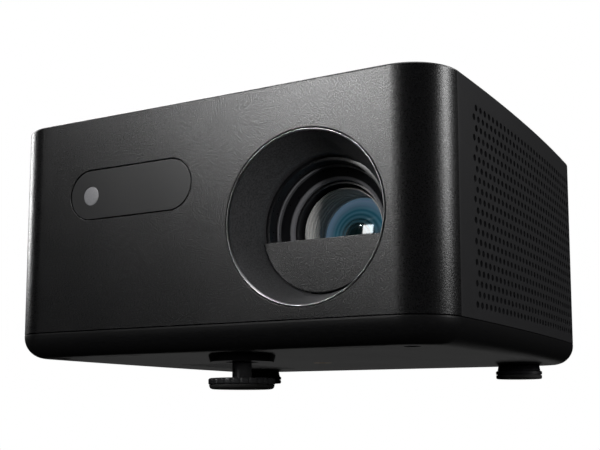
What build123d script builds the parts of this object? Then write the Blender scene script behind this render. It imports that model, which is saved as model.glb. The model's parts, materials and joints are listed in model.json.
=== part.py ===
from build123d import *
import math
import os

os.makedirs("parts", exist_ok=True)

# Home projector. Millimetres, +Z up, X to the right seen from the front, Y towards the back.
# The origin is the middle of the footprint, on the plane under the extended front foot.

# Casing
BODY_W = 250.0  # width where the bowed sides meet the corners
BODY_D = 240.0
BODY_H = 125.0
SIDE_BOW = 3.8  # how far the sides swell at mid depth
CORNER_R = 25.0
WALL = 2.5
TRAY_H = 12.5
TRAY_EDGE_R = 11.5
TOP_EDGE_R = 1.2
SEAM_GAP = 0.4
COVER_T = 3.2
FRONT_SPLIT = -98.5  # seam between front shell and side grille
REAR_SPLIT = 101.5  # seam between side grille and rear panel

# Feet
REAR_FOOT_H = 8.5
REAR_FOOT_R = 14.0
REAR_FOOT_X = 93.5
REAR_FOOT_Y = 94.0
FRONT_FOOT_OUT = 9.0  # how far the front foot is screwed out beyond the rear feet
FRONT_FOOT_Y = -79.0
FRONT_KNOB_R = 17.2
KNOB_GROOVES = 24
SPINDLE_R = 5.0
SPINDLE_TOP = 46.0
PAD_STEM_R = 3.0

# Levels that follow
BOTTOM = REAR_FOOT_H + FRONT_FOOT_OUT
SEAM = BOTTOM + TRAY_H
TOP = BOTTOM + BODY_H
FLOOR = BOTTOM + WALL
FRONT = -BODY_D / 2
BACK = BODY_D / 2

# Lens
LENS_X = 58.0
LENS_Z = BOTTOM + 60
MOUTH_R = 40.4
RING_W = 0.95  # trim ring
RING_T = 1.2
THROAT_R = 33.7
THROAT_DEPTH = 20.0
SHROUD_DROP = 7.0  # straight edge of the half disc, below the lens axis
TUBE_R = 26.0
TUBE_BORE_R = 23.3
CELL_R = 23.24
CELL_BORE_R = 21.2
GLASS_R = 20.5
REAR_GLASS_R = 18.0
GEAR_MODULE = 0.8
RING_TEETH = 75
PINION_TEETH = 16
PINION_ANGLE = 135.0  # direction from lens axis to pinion axis

# Sensor window
WINDOW_X = -43.0
WINDOW_Z = BOTTOM + 83.6
WINDOW_W = 77.0
WINDOW_H = 26.0
CAMERA_X = -68.0

# Side perforations
HOLE_R = 1.65
HOLE_ROWS = 20
HOLES_IN_ROW = 31
ROW_PITCH = 4.9
HOLE_PITCH = 5.73
FIRST_HOLE_Y = -79.2
LOW_ROW_Z = BOTTOM + 19.4

# Fans
FAN_SIZE = 80.0
FAN_T = 20.0
FAN_Y = 52.0
FAN_Z = 78.0
FAN_X = 98.0  # inner face of each fan

# Speakers
SPEAKER_Y = -60.0
SPEAKER_Z = 78.0
SPEAKER_X = 116.0  # outer face of each box
SPEAKER_HALF_D = 32.0
SPEAKER_TOP = SPEAKER_Z + 34.0
LEFT_BOX_W = 38.0
RIGHT_BOX_W = 20.5  # slimmer, beside the lens

# Posts and inserts on the tray
CASE_POSTS = [(x, y) for x in (-103, 103) for y in (-99, 99)]
ENGINE_POSTS = [(36, -14), (82, -14), (-16, -12)]
SUPPLY_POSTS = [(-90, -20), (-46, -20), (-90, 80), (-46, 80)]
SUPPLY_Z = 28.0
STAND_Y = 10.0
STAND_BORE_R = 2.55  # under a quarter inch screw
INSERT_R = 5.5
FOOT_BOSS_R = 17.4
FOOT_BOSS_H = 3.6
FOOT_HOLE_R = 8.5
AIR_SLOTS = 9
AIR_SLOT_PITCH = 9.0

# Light engine
ENGINE_Z0 = 50.0
ENGINE_Z1 = 106.0
ENGINE_WALL = 2.5
ENGINE_LENS_BOX = (30, 88, -20, 10)  # X and Y of the chamber behind the lens
ENGINE_LIGHT_BOX = (-24, 30, -20, 50)  # X and Y of the chamber with the light sources
LED_SIDE_Y = 20.0
LED_REAR_X = (-8.0, 17.0)
LED_HALF = 11.0
SPREADER_T = 6.0
PIPE_R = 3.0
PIPE_Z = ENGINE_Z0 - SPREADER_T - PIPE_R
PIPE_X = 80.0
PIPES_Y = (46.0, 66.0)
PIPE_BEND_R = 13.0
FIN_LOW = 56.0
FIN_COUNT = 15
FIN_PITCH = 4.0
FIN_T = 0.8
FIN_X = (64, 95)
FIN_Y = (33.2, 84.8)

# Focus gears
PINION_GAP = GEAR_MODULE * (RING_TEETH + PINION_TEETH) / 2
PINION_X = LENS_X + PINION_GAP * math.cos(math.radians(PINION_ANGLE))
PINION_Z = LENS_Z + PINION_GAP * math.sin(math.radians(PINION_ANGLE))
GEAR_Y = FRONT + 69.3
GEAR_T = 6.0

# Ports, all on one line across the back, as (X, width, height)
PORT_Z = 54.0
PORT_FACE = BACK - 0.6
PORT_CLEAR = 0.3
HDMI_X = (-18, 6)
HDMI_W = 15.4
HDMI_H = 6.2
USB_X = 30.0
USB_W = 14.6
USB_H = 7.4
PORTS = [(HDMI_X[0], HDMI_W, HDMI_H), (HDMI_X[1], HDMI_W, HDMI_H), (USB_X, USB_W, USB_H)]
JACK_X = -40.0
JACK_R = 3.4
JACK_BORE_R = 1.8
INLET_X = -80.0
INLET_W = 24.0
INLET_H = 16.0
EXHAUST_SLOTS = 11  # in each bank
EXHAUST_PITCH = 6.0

# Main board, upright behind the ports
BOARD_Y = 100.0
BOARD_T = 1.6
BOARD_POSTS_X = (-56, 56)
BOARD_POSTS_Z = (40, 108)

# Power button
BUTTON_Y = 70.0
BUTTON_R = 9.0
BUTTON_BOARD_Z = 129.6
COVER_TOP = TOP - 0.2

UP = (Align.CENTER, Align.CENTER, Align.MIN)


def block(x0, x1, y0, y1, z0, z1):
    size = Box(x1 - x0, y1 - y0, z1 - z0)
    return Pos((x0 + x1) / 2, (y0 + y1) / 2, (z0 + z1) / 2) * size


def rod_z(r, x, y, z0, z1):
    return Pos(x, y, z0) * Cylinder(r, z1 - z0, align=UP)


def rod_y(r, x, z, y0, y1):
    return Pos(x, y0, z) * Rot(-90, 0, 0) * Cylinder(r, y1 - y0, align=UP)


def rod_x(r, y, z, x0, x1):
    return Pos(x0, y, z) * Rot(0, 90, 0) * Cylinder(r, x1 - x0, align=UP)


def turned_z(points, x, y):
    """Solid of revolution about a vertical axis, from (radius, height) points."""
    face = Plane.XZ * make_face(Polyline(*points, close=True))
    return Pos(x, y, 0) * revolve(face, Axis.Z)


def turned_lens(points):
    """Solid of revolution about the lens axis, from (radius, depth behind the front) points."""
    face = make_face(Polyline(*points, close=True))
    return Pos(LENS_X, FRONT, LENS_Z) * revolve(face, Axis.Y)


def turned_x(points):
    """Solid of revolution about X, from (distance along X, radius) points."""
    return revolve(make_face(Polyline(*points, close=True)), Axis.X)


def plan(inset=0.0):
    """Outline of the casing seen from above, drawn inwards by inset."""
    x = BODY_W / 2 - inset
    y = BODY_D / 2 - inset
    with BuildSketch() as sketch:
        with BuildLine():
            Line((-x, -y), (x, -y))
            ThreePointArc((x, -y), (x + SIDE_BOW, 0), (x, y))
            Line((x, y), (-x, y))
            ThreePointArc((-x, y), (-x - SIDE_BOW, 0), (-x, -y))
        make_face()
        fillet(sketch.vertices(), CORNER_R - inset)
    return sketch.sketch


def slab(inset, z0, z1):
    """The casing's outline, drawn in by inset, as a solid between two heights."""
    return Pos(0, 0, z0) * extrude(plan(inset), z1 - z0)


def stadium(width, height, y0, y1, x, z):
    """Plate with round ends in the front plane, between two depths."""
    sketch = Plane(origin=(x, y0, z), x_dir=(1, 0, 0), z_dir=(0, 1, 0)) * SlotOverall(width, height)
    return extrude(sketch, y1 - y0)


def casing_wall():
    """Upright wall of the casing with its softened upper edge."""
    outer = slab(0, SEAM + SEAM_GAP / 2, TOP)
    rim = outer.edges().group_by(Axis.Z)[-1]
    return fillet(rim, TOP_EDGE_R) - slab(WALL, SEAM - 1, TOP + 1)


def make_base_tray():
    outer = slab(0, BOTTOM, SEAM - SEAM_GAP / 2)
    outer = fillet(outer.edges().group_by(Axis.Z)[0], TRAY_EDGE_R)
    pocket = slab(WALL, FLOOR, SEAM + 5)
    pocket = fillet(pocket.edges().group_by(Axis.Z)[0], TRAY_EDGE_R - WALL)
    tray = outer - pocket
    # upstanding tongue that closes the seam from inside
    tray += slab(WALL + 0.2, SEAM - 4, SEAM + 2) - slab(WALL + 1.6, SEAM - 5, SEAM + 5)
    # tapered boss below and hole for the front foot
    low = BOTTOM - FOOT_BOSS_H
    boss = [(0, BOTTOM), (FOOT_BOSS_R, BOTTOM), (FOOT_BOSS_R - 1, low), (0, low)]
    tray += turned_z(boss, 0, FRONT_FOOT_Y)
    tray -= rod_z(FOOT_HOLE_R, 0, FRONT_FOOT_Y, BOTTOM - 5, FLOOR + 1)
    # boss for the stand thread
    tray += rod_z(9, 0, STAND_Y, FLOOR - 1, FLOOR + 8)
    tray -= rod_z(INSERT_R, 0, STAND_Y, BOTTOM - 1, FLOOR + 6)
    for x, y in ENGINE_POSTS:
        tray += rod_z(5, x, y, FLOOR - 1, ENGINE_Z0)
    for x, y in SUPPLY_POSTS:
        tray += rod_z(3.5, x, y, FLOOR - 1, SUPPLY_Z)
        tray -= rod_z(1.3, x, y, FLOOR + 1, SUPPLY_Z + 1)
    for side in (-1, 1):
        for y in (FAN_Y - 34, FAN_Y + 34):
            cradle = sorted((side * FAN_X, side * (FAN_X + 17)))
            tray += block(*cradle, y - 2, y + 2, FLOOR - 1, FAN_Z - FAN_SIZE / 2)
        tray -= rod_z(4, side * REAR_FOOT_X, REAR_FOOT_Y, BOTTOM - 1, FLOOR + 1)
    for x, y in CASE_POSTS:
        tray += rod_z(6, x, y, FLOOR - 1, FLOOR + 16)
        tray -= rod_z(4, x, y, BOTTOM - 1, FLOOR + 6)
        tray -= rod_z(2, x, y, BOTTOM - 1, FLOOR + 20)
    # air slots under the power supply
    for i in range(AIR_SLOTS):
        y = -12 + AIR_SLOT_PITCH * i
        tray -= block(-88, -48, y, y + 2.5, BOTTOM - 1, FLOOR + 1)
    # shallow finger lines near the front edge
    for x in (-70, 62):
        tray -= block(x, x + 24, FRONT + 15, FRONT + 16.2, BOTTOM - 1, BOTTOM + 0.8)
    return tray


def make_front_shell(wall):
    ring_gap = 1.55
    window_gap = 0.35
    width = WINDOW_W + 2 * window_gap
    height = WINDOW_H + 2 * window_gap
    shell = wall & block(-BODY_W, BODY_W, FRONT - 1, FRONT_SPLIT - SEAM_GAP / 4, 0, TOP + 1)
    shell -= rod_y(MOUTH_R + ring_gap, LENS_X, LENS_Z, FRONT - 1, FRONT + 5)
    return shell - stadium(width, height, FRONT - 1, FRONT + 5, WINDOW_X, WINDOW_Z)


def make_side_grille(wall, side):
    ends = (FRONT_SPLIT + SEAM_GAP / 4, REAR_SPLIT - SEAM_GAP / 4)
    xs = sorted((side * BODY_W / 4, side * BODY_W))
    panel = wall & block(*xs, *ends, 0, TOP + 1)
    pins = []
    for row in range(HOLE_ROWS):
        shift = HOLE_PITCH / 2 if row % 2 else 0.0
        for i in range(HOLES_IN_ROW):
            y = FIRST_HOLE_Y + shift + i * HOLE_PITCH
            pins.append(rod_x(HOLE_R, y, LOW_ROW_Z + row * ROW_PITCH, xs[0], xs[1]))
    return panel - pins


def make_rear_panel(wall):
    panel = wall & block(-BODY_W, BODY_W, REAR_SPLIT + SEAM_GAP / 4, BACK + 1, 0, TOP + 1)
    for x in BOARD_POSTS_X:
        for z in BOARD_POSTS_Z:
            panel += rod_y(3, x, z, BOARD_Y + BOARD_T, BACK - WALL / 2)
    for x, width, height in PORTS + [(INLET_X, INLET_W, INLET_H)]:
        grown = (width + 2 * PORT_CLEAR, height + 2 * PORT_CLEAR)
        panel -= port_block(x, *grown, BACK - 6, BACK + 1)
    panel -= rod_y(JACK_R + PORT_CLEAR, JACK_X, PORT_Z, BACK - 6, BACK + 1)
    # exhaust slots in two banks
    for bank in (-1, 1):
        for i in range(EXHAUST_SLOTS):
            x = bank * (18 + EXHAUST_PITCH * i)
            panel -= block(x - 1.5, x + 1.5, BACK - 6, BACK + 1, PORT_Z + 24, TOP - 22)
    return panel


def port_block(x, width, height, y0, y1):
    return block(x - width / 2, x + width / 2, y0, y1, PORT_Z - height / 2, PORT_Z + height / 2)


def make_top_cover():
    cover = slab(WALL + 0.25, COVER_TOP - COVER_T, COVER_TOP)
    edge = cover.edges().group_by(Axis.Z)[-1]
    cover = fillet(edge, 0.5)
    for x, y in CASE_POSTS:
        cover += rod_z(5, x, y, FLOOR + 16.0, TOP - 2)
        cover -= rod_z(1.6, x, y, FLOOR + 15, FLOOR + 34)
    for x in (-16, 16):
        cover += rod_z(2.5, x, BUTTON_Y, BUTTON_BOARD_Z, TOP - 2)
    return cover - rod_z(BUTTON_R + 0.3, 0, BUTTON_Y, TOP - 20, TOP + 1)


def make_power_button():
    top = COVER_TOP
    button = rod_z(BUTTON_R, 0, BUTTON_Y, top - 7.5, top)
    button = fillet(button.edges().group_by(Axis.Z)[-1], 0.6)
    button += rod_z(BUTTON_R + 1.6, 0, BUTTON_Y, top - 5.4, top - COVER_T - 0.1)
    return button - rod_z(BUTTON_R - 2, 0, BUTTON_Y, top - 9, top - 5)


def make_button_switch():
    board = block(-20, 20, BUTTON_Y - 12, BUTTON_Y + 12, BUTTON_BOARD_Z - BOARD_T, BUTTON_BOARD_Z)
    board += block(-3, 3, BUTTON_Y - 3, BUTTON_Y + 3, BUTTON_BOARD_Z, BUTTON_BOARD_Z + 3.5)
    return board + rod_z(1.7, 0, BUTTON_Y, BUTTON_BOARD_Z + 3, TOP - 6.8)


def make_case_screws():
    screws = []
    for x, y in CASE_POSTS:
        head = rod_z(3.5, x, y, FLOOR + 3.5, FLOOR + 6)
        head -= block(x - 2, x + 2, y - 0.4, y + 0.4, FLOOR + 3, FLOOR + 4.5)
        screws.append(head + rod_z(1.5, x, y, FLOOR + 6, FLOOR + 32))
    return screws


# Lens recess, from the mouth inwards: trim ring, funnel, half-disc shroud, stepped bezel


def make_lens_trim_ring():
    r = MOUTH_R
    rim = MOUTH_R + RING_W
    return turned_lens([(r, RING_T), (r, 0.9), (rim - 0.2, 0), (rim, 0), (rim, RING_T)])


def make_lens_funnel():
    wall = 2.3
    back = 40.0
    rim = MOUTH_R + RING_W
    flange_r = MOUTH_R + 3.2
    flange_y = WALL + 0.5
    inner = [(MOUTH_R, RING_T), (THROAT_R, THROAT_DEPTH), (THROAT_R, back)]
    outer = [(THROAT_R + wall, back), (THROAT_R + wall, THROAT_DEPTH), (MOUTH_R + 0.6, 5)]
    flange = [(flange_r, 5), (flange_r, flange_y), (rim, flange_y)]
    return turned_lens(inner + outer + flange + [(rim, RING_T)])


def make_lens_shroud():
    y0 = FRONT + THROAT_DEPTH
    disc = rod_y(THROAT_R, LENS_X, LENS_Z, y0, y0 + 2)
    reach = 2 * THROAT_R
    straight = LENS_Z - SHROUD_DROP
    keep = block(LENS_X - reach, LENS_X + reach, y0 - 1, y0 + 3, straight - reach, straight)
    return disc & keep


def make_lens_bezel():
    step = [(THROAT_R, 24), (31.6, 24), (31.6, 30.2), (30.3, 31), (30.3, 33)]
    band = [(28, 34), (24.5, 36), (24.5, 38), (THROAT_R, 38)]
    return turned_lens(step + band)


def make_lens_tube():
    front = 38.4
    flange = 96.0
    back = 100.0
    collar = [(TUBE_R, 64), (TUBE_R + 2, 64), (TUBE_R + 2, 69), (TUBE_R, 69)]
    foot = [(TUBE_R, flange), (TUBE_R + 7, flange), (TUBE_R + 7, back)]
    ends = [(TUBE_BORE_R, back), (TUBE_BORE_R, front), (TUBE_R, front)]
    return turned_lens(collar + foot + ends)


def make_front_cell():
    """Moving lens cell: ribbed bore in front, seat for the glass behind."""
    mouth = 42.6
    seat = 61.0
    back = 68.0
    ribs = 6
    pitch = (seat - mouth - 1) / ribs
    crest = CELL_BORE_R
    groove = CELL_BORE_R + 0.6
    neck = CELL_R - 1.3
    profile = [(CELL_R, back), (CELL_R, mouth + 6), (neck, mouth + 5.2), (neck, mouth + 0.2)]
    profile += [(neck - 0.2, mouth), (crest + 0.15, mouth)]
    for i in range(ribs):
        start = mouth + 1 + i * pitch
        profile += [(crest, start), (groove, start + 0.3)]
        profile += [(groove, start + 0.6 * pitch), (crest, start + 0.7 * pitch)]
    return turned_lens(profile + [(crest, seat), (GLASS_R, seat), (GLASS_R, back)])


def lens_glass(radius, front_edge, back_edge, front_sag, back_sag):
    """Biconvex element: two spherical faces on a short cylinder."""

    def bulge(sag):
        sphere_r = (radius**2 + sag**2) / (2 * sag)
        return sag - sphere_r + math.sqrt(sphere_r**2 - radius**2 / 4)

    front_pole = (0, front_edge - front_sag)
    front_middle = (radius / 2, front_edge - bulge(front_sag))
    front_rim = (radius, front_edge)
    back_rim = (radius, back_edge)
    back_middle = (radius / 2, back_edge + bulge(back_sag))
    back_pole = (0, back_edge + back_sag)
    front = ThreePointArc(front_pole, front_middle, front_rim)
    rim = Line(front_rim, back_rim)
    rear = ThreePointArc(back_rim, back_middle, back_pole)
    axis = Line(back_pole, front_pole)
    return Pos(LENS_X, FRONT, LENS_Z) * revolve(make_face([front, rim, rear, axis]), Axis.Y)


def make_rear_cell():
    front = 84.0
    back = 94.0
    r = REAR_GLASS_R
    return turned_lens([(r, front), (TUBE_BORE_R, front), (TUBE_BORE_R, back), (r, back)])


def gear_face(teeth, phase):
    """Involute spur outline, 20 degree pressure angle, thinned for backlash, phase in degrees."""
    pitch_r = GEAR_MODULE * teeth / 2
    base_r = pitch_r * math.cos(math.radians(20))
    tip_r = pitch_r + 0.85 * GEAR_MODULE
    root_r = pitch_r - 1.25 * GEAR_MODULE
    backlash = 0.16
    half = math.pi / (2 * teeth) - backlash / (2 * pitch_r)

    def roll(r):
        angle = math.acos(min(1.0, base_r / r))
        return math.tan(angle) - angle

    flank = [(r, half + roll(pitch_r) - roll(max(r, base_r))) for r in (root_r, pitch_r, tip_r)]
    points = []
    for k in range(teeth):
        centre = math.radians(phase) + 2 * math.pi * k / teeth
        sides = [(r, centre - a) for r, a in flank] + [(r, centre + a) for r, a in reversed(flank)]
        points += [(r * math.cos(a), r * math.sin(a)) for r, a in sides]
    return make_face(Polyline(*points, close=True))


def make_focus_ring():
    face = gear_face(RING_TEETH, PINION_ANGLE + 180 / RING_TEETH)
    ring = Pos(LENS_X, GEAR_Y + GEAR_T, LENS_Z) * extrude(Plane.XZ * face, GEAR_T)
    return ring - rod_y(TUBE_R + 0.06, LENS_X, LENS_Z, GEAR_Y - 1, GEAR_Y + GEAR_T + 1)


def make_focus_pinion():
    face = gear_face(PINION_TEETH, PINION_ANGLE + 180)
    pinion = Pos(PINION_X, GEAR_Y + GEAR_T + 0.5, PINION_Z) * extrude(Plane.XZ * face, GEAR_T + 1)
    return pinion + rod_y(1, PINION_X, PINION_Z, GEAR_Y + GEAR_T, GEAR_Y + GEAR_T + 6.5)


def make_focus_bracket():
    y0 = GEAR_Y + GEAR_T + 2
    plate = rod_y(31, LENS_X, LENS_Z, y0, y0 + 2) + rod_y(12, PINION_X, PINION_Z, y0, y0 + 2)
    arm = Box(PINION_GAP, 2, 20)
    middle = ((LENS_X + PINION_X) / 2, y0 + 1, (LENS_Z + PINION_Z) / 2)
    plate += Pos(*middle) * Rot(0, -PINION_ANGLE, 0) * arm
    plate -= rod_y(TUBE_R, LENS_X, LENS_Z, y0 - 1, y0 + 3)
    return plate - rod_y(3.2, PINION_X, PINION_Z, y0 - 1, y0 + 3)


def make_focus_motor():
    y0 = GEAR_Y + GEAR_T + 4
    motor = rod_y(10, PINION_X, PINION_Z, y0, y0 + 16)
    motor += block(PINION_X - 5, PINION_X + 5, y0 + 3, y0 + 12, PINION_Z + 8, PINION_Z + 13)
    return motor - rod_y(1.06, PINION_X, PINION_Z, y0 - 1, y0 + 2.8)


# Light engine


def make_engine_housing():
    wall = ENGINE_WALL
    low = ENGINE_Z0 + wall
    high = ENGINE_Z1 + 1
    housing = block(*ENGINE_LENS_BOX, ENGINE_Z0, ENGINE_Z1)
    housing += block(*ENGINE_LIGHT_BOX, ENGINE_Z0, ENGINE_Z1)
    x0, x1, y0, y1 = ENGINE_LENS_BOX
    housing -= block(x0 - wall, x1 - wall, y0 + wall, y1 - wall, low, high)
    housing -= rod_y(18, LENS_X, LENS_Z, y0 - 1, y0 + 3)
    housing -= block(LENS_X - 10, LENS_X + 10, y1 - 3, y1 + 1, LENS_Z - 6, LENS_Z + 6)
    x0, x1, y0, y1 = ENGINE_LIGHT_BOX
    housing -= block(x0 + wall, x1 - wall, y0 + wall, y1 - wall, low, high)
    housing -= rod_x(8, LED_SIDE_Y, LENS_Z, x0 - 1, x0 + 3)
    for x in LED_REAR_X:
        housing -= rod_y(8, x, LENS_Z, y1 - 3, y1 + 1)
    return housing


def make_engine_lid():
    levels = (ENGINE_Z1, ENGINE_Z1 + 2)
    return block(*ENGINE_LENS_BOX, *levels) + block(*ENGINE_LIGHT_BOX, *levels)


def make_prism():
    """Pair of right-angle wedges behind the lens, as one cemented block."""
    return block(LENS_X - 13, LENS_X + 13, -16, 5, LENS_Z - 13, LENS_Z + 13)


def make_dichroic_plates():
    plate = Box(26, 1.2, 26)
    return [Pos(x, LED_SIDE_Y, LENS_Z) * Rot(0, 0, 45) * plate for x in LED_REAR_X]


def make_condenser_lenses():
    lenses = [rod_y(8, x, LENS_Z, 41, 46) for x in LED_REAR_X]
    return lenses + [rod_x(7.5, LED_SIDE_Y, LENS_Z, -21, -19.4)]


def make_led_modules():
    low, high = LENS_Z - LED_HALF, LENS_Z + LED_HALF
    modules = [block(-26, -24, LED_SIDE_Y - LED_HALF, LED_SIDE_Y + LED_HALF, low, high)]
    modules += [block(x - LED_HALF, x + LED_HALF, 50, 52, low, high) for x in LED_REAR_X]
    return modules


def make_heat_spreader():
    """Cold plate under the light engine with three upright blocks behind the LEDs."""
    high = LENS_Z + LED_HALF
    plate = block(-32, 28, 8, 72, ENGINE_Z0 - SPREADER_T, ENGINE_Z0)
    plate += block(-32, -26, LED_SIDE_Y - LED_HALF, LED_SIDE_Y + LED_HALF, ENGINE_Z0 - 1, high)
    for x in LED_REAR_X:
        plate += block(x - LED_HALF, x + LED_HALF, 52, 58, ENGINE_Z0 - 1, high)
    return plate


def make_heat_pipes():
    pipes = []
    for y in PIPES_Y:
        corners = [(-28, y, PIPE_Z), (PIPE_X, y, PIPE_Z), (PIPE_X, y, FIN_LOW + FIN_COUNT * FIN_PITCH)]
        route = FilletPolyline(*corners, radius=PIPE_BEND_R)
        pipes.append(sweep(Plane(route @ 0, z_dir=route % 0) * Circle(PIPE_R), path=route))
    return pipes


def make_fin_stack():
    high = FIN_LOW + (FIN_COUNT - 1) * FIN_PITCH + FIN_T
    near, far = FIN_Y
    stack = block(*FIN_X, near, near + FIN_T, FIN_LOW, high)
    stack += block(*FIN_X, far - FIN_T, far, FIN_LOW, high)
    for i in range(FIN_COUNT):
        z = FIN_LOW + i * FIN_PITCH
        stack += block(*FIN_X, *FIN_Y, z, z + FIN_T)
    for y in PIPES_Y:
        stack -= rod_z(PIPE_R + 0.02, PIPE_X, y, FIN_LOW - 1, high + 1)
    return stack


def make_imager_board():
    board = block(38, 78, 10, 11.6, LENS_Z - 20, LENS_Z + 20)
    return board + block(LENS_X - 9.5, LENS_X + 9.5, 6.5, 10, LENS_Z - 5.5, LENS_Z + 5.5)


def make_imager_heatsink():
    sink = block(LENS_X - 18, LENS_X + 18, 11.6, 15, LENS_Z - 18, LENS_Z + 18)
    for i in range(7):
        x = LENS_X - 18 + i * 5.8
        sink += block(x, x + 1.2, 14, 29, LENS_Z - 18, LENS_Z + 18)
    return sink


def make_imager_ribbon():
    """Flat flexible cable from the imager board, over the fins, to the main board."""
    path = FilletPolyline((11.8, 96.5), (12.2, 121), (99.8, 121), (99.8, 112.4), radius=6)
    strip = Plane.YZ * trace(path, 0.4)
    return Pos(40, 0, 0) * extrude(strip, 16)


# Fans, built with the axle along Z and then turned


def fan_frame():
    half = FAN_SIZE / 2
    frame = block(-half, half, -half, half, 0, FAN_T)
    frame = fillet(frame.edges().filter_by(Axis.Z), 4)
    frame -= rod_z(38.5, 0, 0, -1, FAN_T + 1)
    for k in range(4):
        frame -= Rot(0, 0, 45 + 90 * k) * rod_z(2.2, 50.5, 0, -1, FAN_T + 1)
        frame += Rot(0, 0, 20 + 90 * k) * block(10, 39, -2, 2, 0, 3)
    frame += rod_z(16, 0, 0, 0, 3)
    return frame - rod_z(1.56, 0, 0, 0.5, 4)


def fan_rotor():
    rotor = rod_z(15.8, 0, 0, 3.6, 18)
    rotor = fillet(rotor.edges().group_by(Axis.Z)[-1], 1.5)
    rotor += rod_z(1.5, 0, 0, 0.6, 4)
    for k in range(7):
        blade = Pos(26, 0, 10.8) * Rot(38, 0, 0) * Box(22.6, 15, 1.3)
        rotor += Rot(0, 0, 360 * k / 7) * blade
    return rotor & rod_z(37.6, 0, 0, 0, 20)


def in_fan_place(piece, side):
    return Pos(side * FAN_X, FAN_Y, FAN_Z) * Rot(0, 90 * side, 0) * piece


def make_dust_filter():
    half = FAN_SIZE / 2
    x = -(FAN_X + FAN_T)
    return block(x - 3, x - 1, FAN_Y - half, FAN_Y + half, FAN_Z - half, FAN_Z + half)


# Speakers, built facing -X with the flange at X = 0 and then turned


def speaker_driver():
    flange = [(0, 23.2), (0, 29), (2, 29), (2, 25.2)]
    magnet = [(12.5, 14.4), (12.5, 15), (18.4, 15), (18.4, 0), (11.5, 0), (11.5, 13.2)]
    return turned_x(flange + magnet + [(2, 23.2)])


def speaker_cone():
    return turned_x([(0.3, 22.8), (1.1, 22.8), (9.6, 7), (9.6, 0), (8.8, 0), (8.8, 6.6)])


def in_speaker_place(piece, side):
    turn = Rot(0, 0, 0 if side < 0 else 180)
    return Pos(side * (SPEAKER_X + 2), SPEAKER_Y, SPEAKER_Z) * turn * piece


def make_speaker_box(side, depth):
    xs = sorted((side * SPEAKER_X, side * (SPEAKER_X - depth)))
    wall = 2.0
    room = (xs[0] + wall, xs[1] - wall)
    near = SPEAKER_Y - SPEAKER_HALF_D
    far = SPEAKER_Y + SPEAKER_HALF_D
    low = FLOOR + 0.5
    box = block(*xs, near, far, low, SPEAKER_TOP)
    box -= block(*room, near + wall, far - wall, low + wall, SPEAKER_TOP - wall)
    hole = sorted((side * (SPEAKER_X - 4), side * (SPEAKER_X + 1)))
    return box - rod_x(25.4, SPEAKER_Y, SPEAKER_Z, *hole)


# Electronics


def make_main_board():
    board = block(-60, 60, BOARD_Y, BOARD_Y + BOARD_T, 36, 112)
    for x, z in ((-30, 50), (0, 76), (24, 92), (36, 50)):
        board += block(x - 7, x + 7, BOARD_Y - 1.6, BOARD_Y, z - 6, z + 6)
    return board


def make_main_heatsink():
    sink = block(-52, -14, BOARD_Y - 4, BOARD_Y - 1.6, 62, 100)
    for i in range(9):
        x = -52 + i * 4.6
        sink += block(x, x + 1.2, BOARD_Y - 13, BOARD_Y - 3, 62, 100)
    return sink + block(-40, -26, BOARD_Y - 1.8, BOARD_Y, 72, 90)


def socket_shell(x, width, height):
    """Metal socket with its mouth to the back and a contact tongue set deep inside."""
    wall = 0.7
    foot = BOARD_Y + BOARD_T
    shell = port_block(x, width, height, foot, PORT_FACE)
    shell -= port_block(x, width - 2 * wall, height - 2 * wall, foot + 2, PORT_FACE + 1)
    return shell + port_block(x, width - 5, 1.2, foot + 1, PORT_FACE - 5)


def make_audio_jack():
    y0 = BOARD_Y + BOARD_T
    jack = block(JACK_X - 4.5, JACK_X + 4.5, y0, y0 + 12, PORT_Z - 4.5, PORT_Z + 4.5)
    jack += rod_y(JACK_R, JACK_X, PORT_Z, y0 + 11, PORT_FACE)
    return jack - rod_y(JACK_BORE_R, JACK_X, PORT_Z, y0 + 2, PORT_FACE + 1)


def make_power_inlet():
    y0 = BACK - 26
    inlet = port_block(INLET_X, INLET_W, INLET_H, y0, PORT_FACE)
    inlet += port_block(INLET_X, INLET_W + 6, INLET_H + 6, BACK - WALL - 3, BACK - WALL - 0.1)
    mouth = port_block(INLET_X, 9, 9, y0 + 8, PORT_FACE + 1)
    for side in (-1, 1):
        mouth += rod_y(4.5, INLET_X + side * 4.5, PORT_Z, y0 + 8, PORT_FACE + 1)
    inlet -= mouth
    for side in (-1, 1):
        inlet += rod_y(1.2, INLET_X + side * 4.3, PORT_Z, y0 - 4, PORT_FACE - 5)
    return inlet


def make_supply_board():
    board = block(-94, -42, -24, 84, SUPPLY_Z, SUPPLY_Z + BOARD_T)
    for x, y in SUPPLY_POSTS:
        board -= rod_z(1.6, x, y, SUPPLY_Z - 1, SUPPLY_Z + 3)
    return board


def make_supply_parts():
    z = SUPPLY_Z + BOARD_T
    parts = [
        block(-82, -56, 30, 58, z, z + 22),  # transformer
        block(-88, -84, -10, 40, z, z + 24),  # heat sink for the switches
        rod_z(9, -62, 8, z, z + 28),  # input capacitor
        rod_z(5, -76, -6, z, z + 18),
        rod_z(5, -52, 70, z, z + 18),
        rod_z(5, -66, 70, z, z + 18),
        block(-72, -56, -20, -8, z, z + 14),  # line filter
    ]
    return parts


def make_board_screws():
    screws = []
    for x, y in SUPPLY_POSTS:
        top = SUPPLY_Z + BOARD_T
        screws.append(rod_z(2.8, x, y, top, top + 1.8) + rod_z(1.2, x, y, SUPPLY_Z - 6, top))
    return screws


def make_sensor_window():
    plate = stadium(WINDOW_W, WINDOW_H, FRONT + 0.1, FRONT + WALL, WINDOW_X, WINDOW_Z)
    return plate - rod_y(5.05, CAMERA_X, WINDOW_Z - 0.5, FRONT - 1, FRONT + WALL + 1)


def make_camera_cover():
    return rod_y(5, CAMERA_X, WINDOW_Z - 0.5, FRONT + 0.1, FRONT + WALL)


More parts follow.
